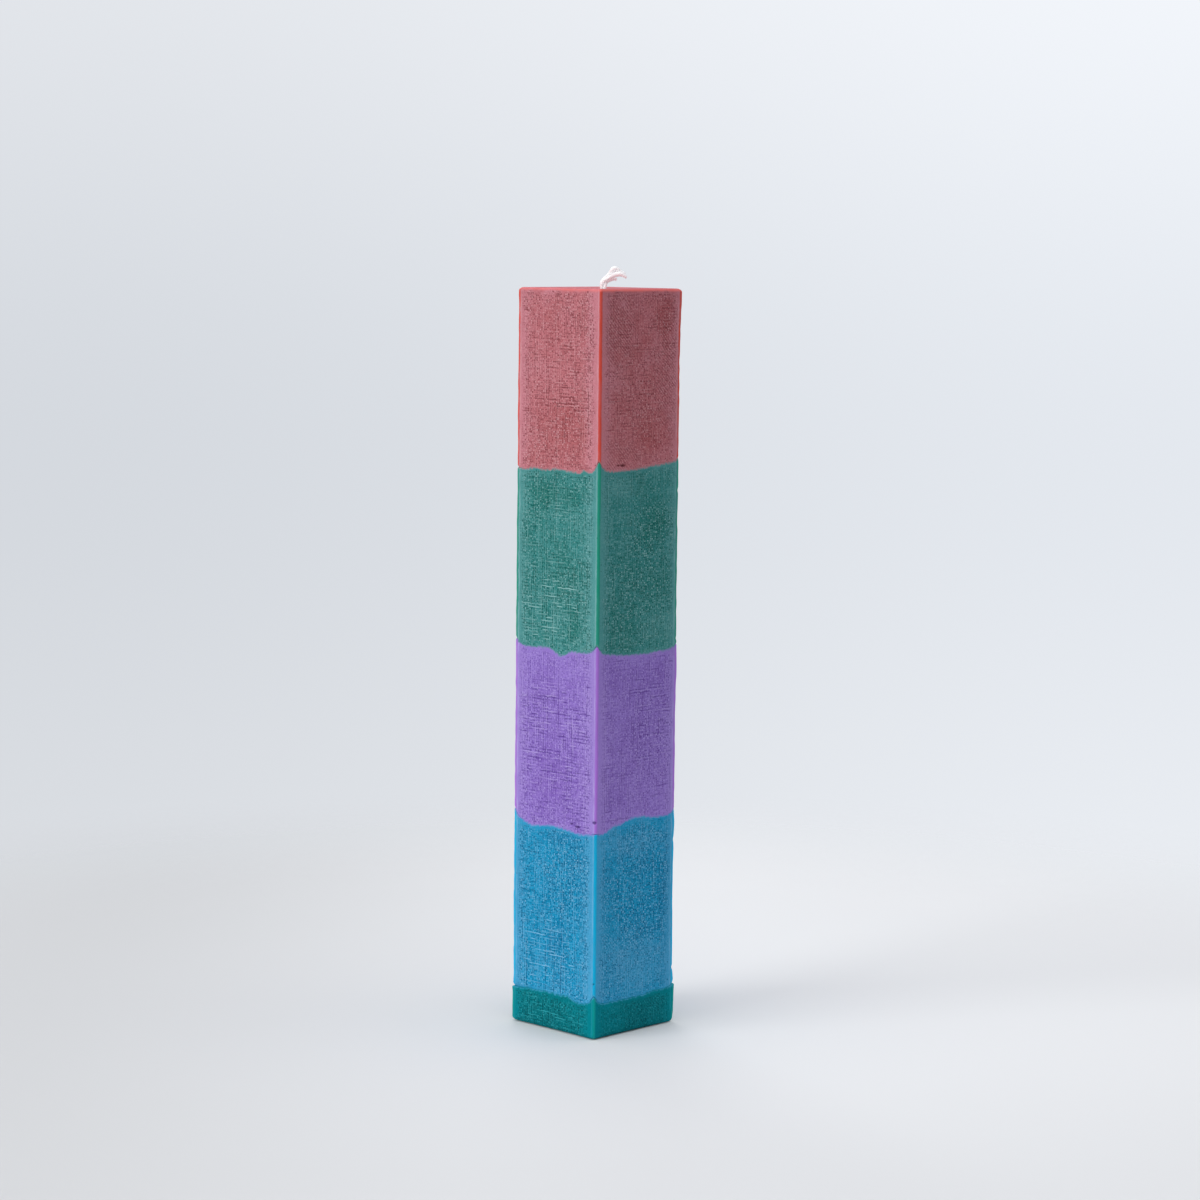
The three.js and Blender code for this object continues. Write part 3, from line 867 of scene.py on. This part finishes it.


# The five pours, from the base up. bare, groove, thread, speck and twill say how much of each a pour has
# all over. Patches are lists of (place, height, half width, half height, strength).
# The darkest colour of each pour is the painted shade in its dents.
POURS = [dict(
    name="base_wax", node="base_layer", slot="teal_wax", seed=11,
    bare=0.5, groove=0.3, thread=0.3, speck=0.5, twill=0.1,
    colours=dict(
        body=(0, 120, 129), bare=(0, 108, 116), bloom=(0, 134, 146), groove=(0, 78, 84),
        speck=(52, 168, 178), bead=(0, 157, 154), dent_and_shade=(0, 70, 74),
    ),
    patches=dict(
        thread=[(0.5, 7.8, 23, 5.5, 1)],
        twill=[(1.75, 10, 10, 5, 0.6)],
        bloom=[(1.27, 9, 6, 6, 0.3), (1.78, 14, 7, 4, 0.3)],
    ),
), dict(
    name="blue_wax", node="blue_layer", slot="blue_wax", seed=23,
    bare=0.45, groove=0.3, thread=0.25, speck=0.6, twill=0.1,
    colours=dict(
        body=(16, 154, 200), bare=(0, 137, 184), bloom=(78, 164, 207), groove=(0, 96, 138),
        speck=(132, 194, 229), bead=(0, 181, 228), dent_and_shade=(0, 84, 120),
    ),
    patches=dict(
        speck=[(0.5, 63, 18, 19, 0.3), (1.6, 63, 18, 22, 1.6), (1.93, 50, 4, 38, -0.6)],
        twill=[(1.3, 42, 9, 12, 0.5), (1.15, 60, 5, 25, 0.4)],
        thread=[(0.42, 32, 21, 14, 1.3)],
        bare=[
            (0.57, 86, 18, 4, 0.6), (0.55, 40, 6, 7, 0.7), (1.93, 50, 4, 38, 1.4), (0.45, 54, 22, 36, 0.35),
        ],
        bloom=[(1.5, 29, 20, 13, 0.8), (1.5, 83, 20, 5, 0.6), (0.93, 50, 4, 35, 0.35)],
    ),
), dict(
    name="violet_wax", node="violet_layer", slot="violet_wax", seed=37,
    bare=0.4, groove=0.55, thread=0.15, speck=0.25, twill=0.1,
    colours=dict(
        body=(153, 125, 210), bare=(134, 101, 192), bloom=(163, 138, 214), groove=(100, 68, 158),
        speck=(198, 180, 238), bead=(178, 119, 222), dent_and_shade=(74, 40, 118),
    ),
    patches=dict(
        groove=[(0.48, 129, 18, 22, 1.3), (0.5, 158, 24, 8, -0.5), (1.7, 138, 12, 20, 0.6)],
        bare=[(0.39, 109, 10, 11, 0.6), (0.48, 128, 13, 36, 0.3), (1.4, 124, 12, 30, 0.25)],
        speck=[(1.7, 128, 15, 22, 0.3), (0.5, 157, 22, 8, -0.2)],
        bloom=[(0.92, 135, 5, 38, 0.5), (1.5, 128, 24, 38, 0.4)],
    ),
), dict(
    name="green_wax", node="green_layer", slot="green_wax", seed=41,
    bare=0.4, groove=0.45, thread=0.25, speck=0.35, twill=0.1,
    colours=dict(
        body=(62, 141, 139), bare=(30, 118, 110), bloom=(94, 160, 160), groove=(12, 90, 82),
        speck=(152, 202, 202), bead=(28, 153, 124), dent_and_shade=(6, 60, 56),
    ),
    patches=dict(
        bare=[
            (0.34, 233, 10, 5, 0.7), (0.66, 232, 6, 4, 0.6), (0.71, 178, 4, 7, 0.8), (1.69, 222, 9, 10, 0.8),
        ],
        thread=[(0.54, 230, 7, 7, 0.6), (0.42, 185, 18, 17, 1.3)],
        speck=[
            (1.8, 221, 6, 10, 0.7), (1.58, 218, 9, 13, 0.6), (1.5, 192, 21, 24, 0.5),
            (0.5, 212, 20, 12, -0.15),
        ],
        bloom=[(1.72, 176, 10, 6, 0.5), (1.28, 237, 11, 5, 0.4), (0.92, 205, 5, 38, 0.5)],
    ),
), dict(
    name="red_wax", node="red_layer", slot="red_wax", seed=59,
    bare=0.4, groove=0.5, thread=0.2, speck=0.5, twill=0.2,
    colours=dict(
        body=(199, 120, 128), bare=(182, 96, 100), bloom=(210, 138, 150), groove=(136, 64, 70),
        speck=(230, 174, 180), bead=(226, 76, 52), dent_and_shade=(96, 28, 34),
    ),
    patches=dict(
        bare=[
            (0.38, 309, 8, 7, 0.7), (0.56, 263, 17, 11, 0.5), (1.8, 310, 7, 7, 0.7), (1.69, 259, 10, 7, 0.5),
            (1.5, 283, 25, 36, 0.3),
        ],
        groove=[(0.62, 283, 14, 18, 0.7), (1.6, 290, 16, 20, 0.3), (1.25, 283, 16, 36, 0.4)],
        bloom=[
            (0.1, 283, 3, 35, 0.3), (1.2, 284, 7, 6, 0.4), (1.28, 315, 2, 1.7, 0.6), (0.94, 284, 5, 42, 1.3),
        ],
        twill=[(1.2, 303, 11, 17, 1.2), (1.84, 284, 9, 26, 1), (1.25, 251, 12, 6, 1)],
        speck=[(1.5, 280, 16, 20, 0.4)],
    ),
)]
SEAMS = [None, BASE_SEAM, BLUE_SEAM, VIOLET_SEAM, GREEN_SEAM, None]
for pour, low, high in zip(POURS, SEAMS, SEAMS[1:]):
    pour.update(low=low, high=high)


# Wick. Each route runs from the wax to the strand's tip, as points (along the lean, to the side, above the
# top, how loosely the yarns lie). lay is where the strand stands round the wick as it leaves the wax, in
# degrees from the lean.
STRANDS = [dict(
    name="long_strand", node="wick_strand_long", lay=200, seed=5,
    route=[
        (-0.72, -0.26, 0.8, 1), (-0.6, -0.3, 2, 1), (0.16, -0.4, 2.9, 1), (1.1, -0.5, 3.6, 1),
        (2.2, -0.5, 4.15, 1.1), (3.25, -0.5, 4.75, 1.2), (4.25, -0.5, 5.35, 1.3),
        (5.4, -0.5, 5.75, 1.4), (6.7, -0.45, 5.85, 1.4), (8, -0.4, 5.65, 1.2), (9.1, -0.3, 5.15, 1),
        (10, -0.2, 4.5, 0.8),
    ],
), dict(
    name="hooked_strand", node="wick_strand_hooked", lay=80, seed=6,
    route=[
        (-0.1, 0.8, 0.5, 1), (-0.5, 0.93, 1.4, 1), (-0.6, 0.95, 2.3, 1), (-0.1, 0.85, 3.3, 1),
        (0.8, 0.7, 4.2, 1), (1.85, 0.6, 5, 1.1), (2.75, 0.5, 5.85, 1.3), (3.35, 0.45, 6.8, 1.5),
        (3.85, 0.4, 7.6, 1.6), (4.5, 0.45, 8.05, 1.7), (5.25, 0.5, 8.1, 1.7), (6.05, 0.55, 7.8, 1.5),
        (6.8, 0.65, 7.25, 1.3), (7.6, 0.75, 6.7, 1.2), (8.5, 0.85, 6.35, 1), (9.2, 0.9, 5.9, 0.8),
    ],
), dict(
    name="short_strand", node="wick_strand_short", lay=320, seed=7,
    route=[
        (0.8, -0.4, 0.4, 0.8), (1, -0.15, 1.4, 0.8), (1.3, 0.25, 2.2, 0.8), (1.9, 0.55, 2.8, 0.8),
        (2.7, 0.7, 3.2, 0.8), (3.6, 0.7, 3.6, 0.9), (4.5, 0.65, 3.8, 0.9), (5.3, 0.6, 3.7, 0.9),
        (5.85, 0.55, 3.35, 0.8),
    ],
)]
YARNS = 7  # round the one in the middle of each strand
YARN_RADIUS = 0.36
YARN_SWELL = 0.12  # share by which a yarn swells and thins along its length
SWELL_TURN = 2.1  # radians of that wave to the millimetre
YARN_TAPER = 0.45  # share by which it thins where it is frayed
YARN_RING = 0.42  # radius of the ring in which they lie, which wraps the strand in fluff
YARN_SIDES = 8
FLUFF_GRAIN = 0.11  # fineness of the surface that joins the yarns outside the wax
YARN_LAY = 8  # length of one turn of the yarns
BURIED_STEP = 2  # between two rings inside the wax
FREE_STEP = 0.2  # and outside it
BURIED_OVERLAP = 3  # rings by which the yarns inside run on into the free end
FRAY_LENGTH = 1.6  # the yarns come apart over this much of the tip
FRAY = 0.4  # and stand this much further out at the end
HAIRS = 150  # on the free end of each strand
HAIR_RADIUS = 0.02
HAIR_LENGTH = 0.7
HAIR_SPREAD = 0.4
HAIR_STEPS = 6
HAIR_SIDES = 3


def curve_through(points, step):
    """Points a step apart on a centripetal Catmull-Rom curve through the given ones."""
    ends = [2 * points[0] - points[1], *points, 2 * points[-1] - points[-2]]
    line = []
    for p0, p1, p2, p3 in zip(ends, ends[1:], ends[2:], ends[3:]):
        k0, k1, k2 = (math.sqrt(np.linalg.norm(b - a)) for a, b in ((p0, p1), (p1, p2), (p2, p3)))
        start = ((p1 - p0) / k0 - (p2 - p0) / (k0 + k1) + (p2 - p1) / k1) * k1
        stop = ((p2 - p1) / k1 - (p3 - p1) / (k1 + k2) + (p3 - p2) / k2) * k1
        for t in np.linspace(0, 1, max(2, round(np.linalg.norm(p2 - p1) / step)), endpoint=False):
            bend = (2 * t**3 - 3 * t**2 + 1) * p1 + (t**3 - 2 * t**2 + t) * start
            line.append(bend + (3 * t**2 - 2 * t**3) * p2 + (t**3 - t**2) * stop)
    return np.array([*line, points[-1]])


def strand_line(strand):
    """The middle line of a strand, how loose it is, and how many of its points lie inside the wax."""
    wick_top = TOP_LEVEL - TOP_DISH
    heights = np.linspace(WICK_RECESS, wick_top, round((wick_top - WICK_RECESS) / BURIED_STEP))
    angles = WICK_LEAN + math.radians(strand["lay"]) + (heights - wick_top) / STRAND_LAY * math.tau
    across = WICK_X + LAY_RADIUS * np.cos(angles)
    deep = WICK_Y + LAY_RADIUS * np.sin(angles)
    buried = np.stack([across, deep, heights, np.ones_like(heights)], axis=1)
    along, aside, above, loose = np.array(strand["route"], float).T
    across = WICK_X + along * math.cos(WICK_LEAN) - aside * math.sin(WICK_LEAN)
    deep = WICK_Y + along * math.sin(WICK_LEAN) + aside * math.cos(WICK_LEAN)
    free = np.stack([across, deep, TOP_LEVEL + above, loose], axis=1)
    line = np.concatenate([buried[:-2], curve_through([*buried[-2:], *free], FREE_STEP)])
    return line[:, :3], line[:, 3], len(buried) - 2


def directions(line):
    """Two directions square to a line at each of its points."""
    ahead = np.gradient(line, axis=0)
    ahead /= np.linalg.norm(ahead, axis=1, keepdims=True)
    lean_side = np.array([-math.sin(WICK_LEAN), math.cos(WICK_LEAN), 0])
    across = lean_side - ahead * (ahead @ lean_side)[:, None]
    across /= np.linalg.norm(across, axis=1, keepdims=True)
    return across, np.cross(ahead, across)


def tube(line, radii, sides):
    """Points and faces of a closed round tube along a line."""
    across, up = directions(line)
    angles = np.arange(sides) / sides * math.tau
    ring = across[:, None] * np.cos(angles)[:, None] + up[:, None] * np.sin(angles)[:, None]
    points = (line[:, None] + ring * radii[:, None, None]).reshape(-1, 3)
    faces = quads(len(line), sides)[:-1].reshape(-1, 4).tolist()
    last = len(points) - sides
    return points, [*faces, list(range(sides))[::-1], list(range(last, last + sides))]


def joined(parts):
    """The points and faces of several meshes, in one list each."""
    points, faces, start = [], [], 0
    for more_points, more_faces in parts:
        points.append(more_points)
        faces += [[start + corner for corner in face] for face in more_faces]
        start += len(more_points)
    return np.concatenate(points), faces


def merged(points, faces):
    """One unbroken surface round tubes that overlap."""
    mesh = bpy.data.meshes.new("yarns")
    mesh.from_pydata(points.tolist(), [], faces)
    rough = add_object("yarns", mesh)
    having(rough.modifiers.new("remesh", "REMESH"), mode="VOXEL", voxel_size=FLUFF_GRAIN)
    whole = rough.evaluated_get(bpy.context.evaluated_depsgraph_get()).to_mesh()
    corners = np.zeros(len(whole.vertices) * 3)
    whole.vertices.foreach_get("co", corners)
    surfaces = [list(polygon.vertices) for polygon in whole.polygons]
    bpy.data.objects.remove(rough)
    bpy.data.meshes.remove(mesh)
    return corners.reshape(-1, 3), surfaces


def yarn_tubes(rng, line, loose, buried):
    """The twisted yarns of a strand, inside the wax and outside it, where they come apart at the tip."""
    steps = np.linalg.norm(np.diff(line, axis=0), axis=1)
    run = np.concatenate([[0], np.cumsum(steps)])
    across, up = directions(line)
    frayed = np.clip((run - run[-1] + FRAY_LENGTH) / FRAY_LENGTH, 0, 1) ** 2
    inside, free = [], []
    for yarn in range(YARNS + 1):
        turn = yarn / YARNS * math.tau + run / YARN_LAY * math.tau
        ring = 0 if yarn == YARNS else YARN_RING
        out = ring * loose + FRAY * rng.uniform(0.2, 1) * frayed
        centre = line + across * (out * np.cos(turn))[:, None] + up * (out * np.sin(turn))[:, None]
        keep = len(line) - int(rng.integers(0, round(FRAY_LENGTH / FREE_STEP / 2)))
        thick = YARN_RADIUS * (1 + YARN_SWELL * np.sin(run * SWELL_TURN + yarn)) * (1 - YARN_TAPER * frayed)
        thick = thick * (0.6 + 0.4 * loose)
        free.append(tube(centre[buried:keep], thick[buried:keep], YARN_SIDES))
        end = buried + BURIED_OVERLAP
        inside.append(tube(centre[:end], thick[:end], YARN_SIDES))
    return inside, free


def hair_tubes(rng, line, loose, buried):
    """Loose hairs that stand out all round the free end."""
    across, up = directions(line)
    t = np.linspace(0, 1, HAIR_STEPS)[:, None]
    hairs = []
    for _ in range(HAIRS):
        root = int(rng.integers(buried + 4, len(line) - 1))
        spin = rng.uniform(0, math.tau)
        out = across[root] * math.cos(spin) + up[root] * math.sin(spin)
        ahead = (line[root] - line[root - 1]) / np.linalg.norm(line[root] - line[root - 1])
        length = HAIR_LENGTH * rng.uniform(0.3, 1)
        sweep = ahead * rng.uniform(-0.5, 1) + rng.normal(0, HAIR_SPREAD, 3)
        start = line[root] + out * YARN_RING * loose[root] * 1.3
        centre = start + (out * t * 0.35 + sweep * t**2) * length
        hairs.append(tube(centre, HAIR_RADIUS * (1 - 0.6 * t[:, 0]), HAIR_SIDES))
    return hairs


def strand_piece(strand, materials):
    """One strand of yarns and hairs. The second material is for the hairs."""
    rng = np.random.default_rng(strand["seed"])
    line, loose, buried = strand_line(strand)
    inside, free = yarn_tubes(rng, line, loose, buried)
    yarns = joined([merged(*joined(free)), *inside])
    points, faces = joined([yarns, *hair_tubes(rng, line, loose, buried)])
    hairy = np.arange(len(faces)) >= len(yarns[1])
    return dress(make_mesh(strand["name"], points, faces), materials, hairy)


def carry(piece, node, slot):
    """Makes a piece stand for its CAD node."""
    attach(piece, "root")
    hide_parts(node)


# Camera, as fitted to the photograph, in metres and degrees
CAMERA_PLACE = (0.98025, -0.98973, 0.34342)
CAMERA_TURN = math.radians(44.673)
CAMERA_PITCH = math.radians(-6.426)
CAMERA_ROLL = math.radians(0.576)
SENSOR_WIDTH = 36  # millimetres
FOCAL_LENGTH = 96.855
CLIP_END = 50


def make_camera():
    data = bpy.data.cameras.new("camera")
    having(data, sensor_fit="HORIZONTAL", sensor_width=SENSOR_WIDTH, lens=FOCAL_LENGTH, clip_end=CLIP_END)
    camera = add_object("camera", data)
    turn = Matrix.Rotation(CAMERA_TURN, 4, "Z") @ Matrix.Rotation(math.pi / 2 + CAMERA_PITCH, 4, "X")
    roll = Matrix.Rotation(CAMERA_ROLL, 4, "Z")
    camera.matrix_world = Matrix.Translation(CAMERA_PLACE) @ turn @ roll
    bpy.context.scene.camera = camera


# Stage. Lamps and the floor's shading are in metres.
LAMPS = {  # place, width, power in watts and colour
    "key": ((-0.5, -2.14, 1), 1.3, 28, (1, 0.985, 0.96)),
    "back": ((-1.75, 1.1, 1.5), 1.2, 10, (0.97, 0.985, 1)),
    "overhead": ((0.1, 0, 2.2), 1.8, 22, (0.97, 0.985, 1)),
}
LAMP_TARGET = Vector((0, 0, 0.16))
SKY_COLOUR = (0.97, 0.96, 1.02, 1)
SKY_LEVEL = 0.45  # of the light from all round above the floor's level
GROUND_LEVEL = 0.1  # and below it
HORIZON = 0.03  # half the steepness over which one passes into the other
PICTURE_RIGHT = (0.711, 0.703)  # the direction that the camera sees as right
PICTURE_NEAR = (0.703, -0.711)  # and the one towards the camera
BACKDROP = [  # a glowing picture of grey paper in a soft curve, with painted shade where it bends: steepness of the view and colour
    (-0.29, (222, 227, 232)), (-0.18, (229, 232, 237)), (-0.055, (215, 220, 227)), (0.073, (239, 242, 247)),
]
BACKDROP_SIDES = (0.915, 1.07)  # how bright it is on the left and on the right
FLOOR_RADIUS = 620  # millimetres
FLOOR_SIDES = 96
FLOOR_DROP = 0.05  # millimetres below the foot
FLOOR_PAINTED_SHADE = (204, 206, 207)  # painted shade, behind the candle on the left
FLOOR_WHITE = (231, 233, 234)  # on the right
FLOOR_FADE = (0.3, 0.6)  # it melts into the backdrop between these distances


def add_lamp(name, place, size, power, tint):
    data = bpy.data.lights.new(name, "AREA")
    lamp = add_object(name, having(data, shape="SQUARE", size=size, energy=power, color=tint))
    lamp.location = place
    lamp.rotation_euler = (LAMP_TARGET - Vector(place)).to_track_quat("-Z", "Y").to_euler()


def make_world():
    """Even light from all round, in front of a backdrop that only the camera and reflections see."""
    world = bpy.data.worlds.new("studio")
    bpy.context.scene.world = world
    g = Graph(world)
    x, y, z = g.axes(g.node("TexCoord").outputs["Generated"])
    lighting = g.tree.nodes["Background"]
    strength = g.ramp(z, -HORIZON, HORIZON, GROUND_LEVEL, SKY_LEVEL)
    g.fill(lighting, {"Color": SKY_COLOUR, "Strength": strength})
    lowest, highest = BACKDROP[0][0], BACKDROP[-1][0]
    stops = [((level - lowest) / (highest - lowest), tint) for level, tint in BACKDROP]
    steepness = g.math("DIVIDE", g.math("SUBTRACT", z, lowest), highest - lowest)
    strength = g.ramp(g.along(x, y, PICTURE_RIGHT), -0.2, 0.2, *BACKDROP_SIDES)
    backdrop = g.node("Background", {"Color": g.colours(steepness, stops), "Strength": strength})
    g.choose(g.seen(), lighting, backdrop, "World Output")


def make_floor():
    """A pale round table top that keeps the shadow near the candle and melts into the backdrop. Its colour
    carries painted shade, darker to the left and towards the camera.
    """
    angles = np.arange(FLOOR_SIDES) / FLOOR_SIDES * math.tau
    x, y = FLOOR_RADIUS * np.cos(angles), FLOOR_RADIUS * np.sin(angles)
    corners = np.stack([x, y, np.full_like(x, -FLOOR_DROP)], axis=1)
    floor = make_mesh("floor", corners, [list(range(FLOOR_SIDES))])
    material = bpy.data.materials.new("floor")
    g = Graph(material)
    x, y, _ = g.axes(g.place())
    # painted shade: the floor is darker to the left and a little darker towards the camera
    rightwards = g.ramp(g.along(x, y, PICTURE_RIGHT), -0.28, 0.09)
    pale = g.times(rightwards, g.ramp(g.along(x, y, PICTURE_NEAR), 0.02, 0.3, 1.0, 0.7))
    tint = g.mix(pale, colour(*FLOOR_PAINTED_SHADE), colour(*FLOOR_WHITE))
    paper = g.shader({"Base Color": tint, "Roughness": 0.9, "Specular IOR Level": 0.1})
    reach = g.math("SQRT", g.plus(g.times(x, x), g.times(y, y)))
    faded = g.times(g.seen(), g.ramp(reach, *FLOOR_FADE))
    g.choose(faded, paper, g.node("BsdfTransparent"), "Material Output")
    floor.data.materials.append(material)
    floor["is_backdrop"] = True


bpy.context.scene.view_settings.view_transform = "Standard"
make_camera()
for pour, under, over in zip(POURS, [None, *POURS[:-1]], [*POURS[1:], None]):
    carry(wax_piece(pour, under, over), pour["node"], pour["slot"])
cotton = [cotton_material("cotton", 1), cotton_material("cotton_hairs", 0)]
for strand in STRANDS:
    carry(strand_piece(strand, cotton), strand["node"], "wick_cotton")
make_world()
make_floor()
for name, lamp in LAMPS.items():
    add_lamp(name, *lamp)

boxes = {"cad": cad_box, "visual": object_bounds()}
{name: [list(corner) for corner in box] for name, box in boxes.items()}
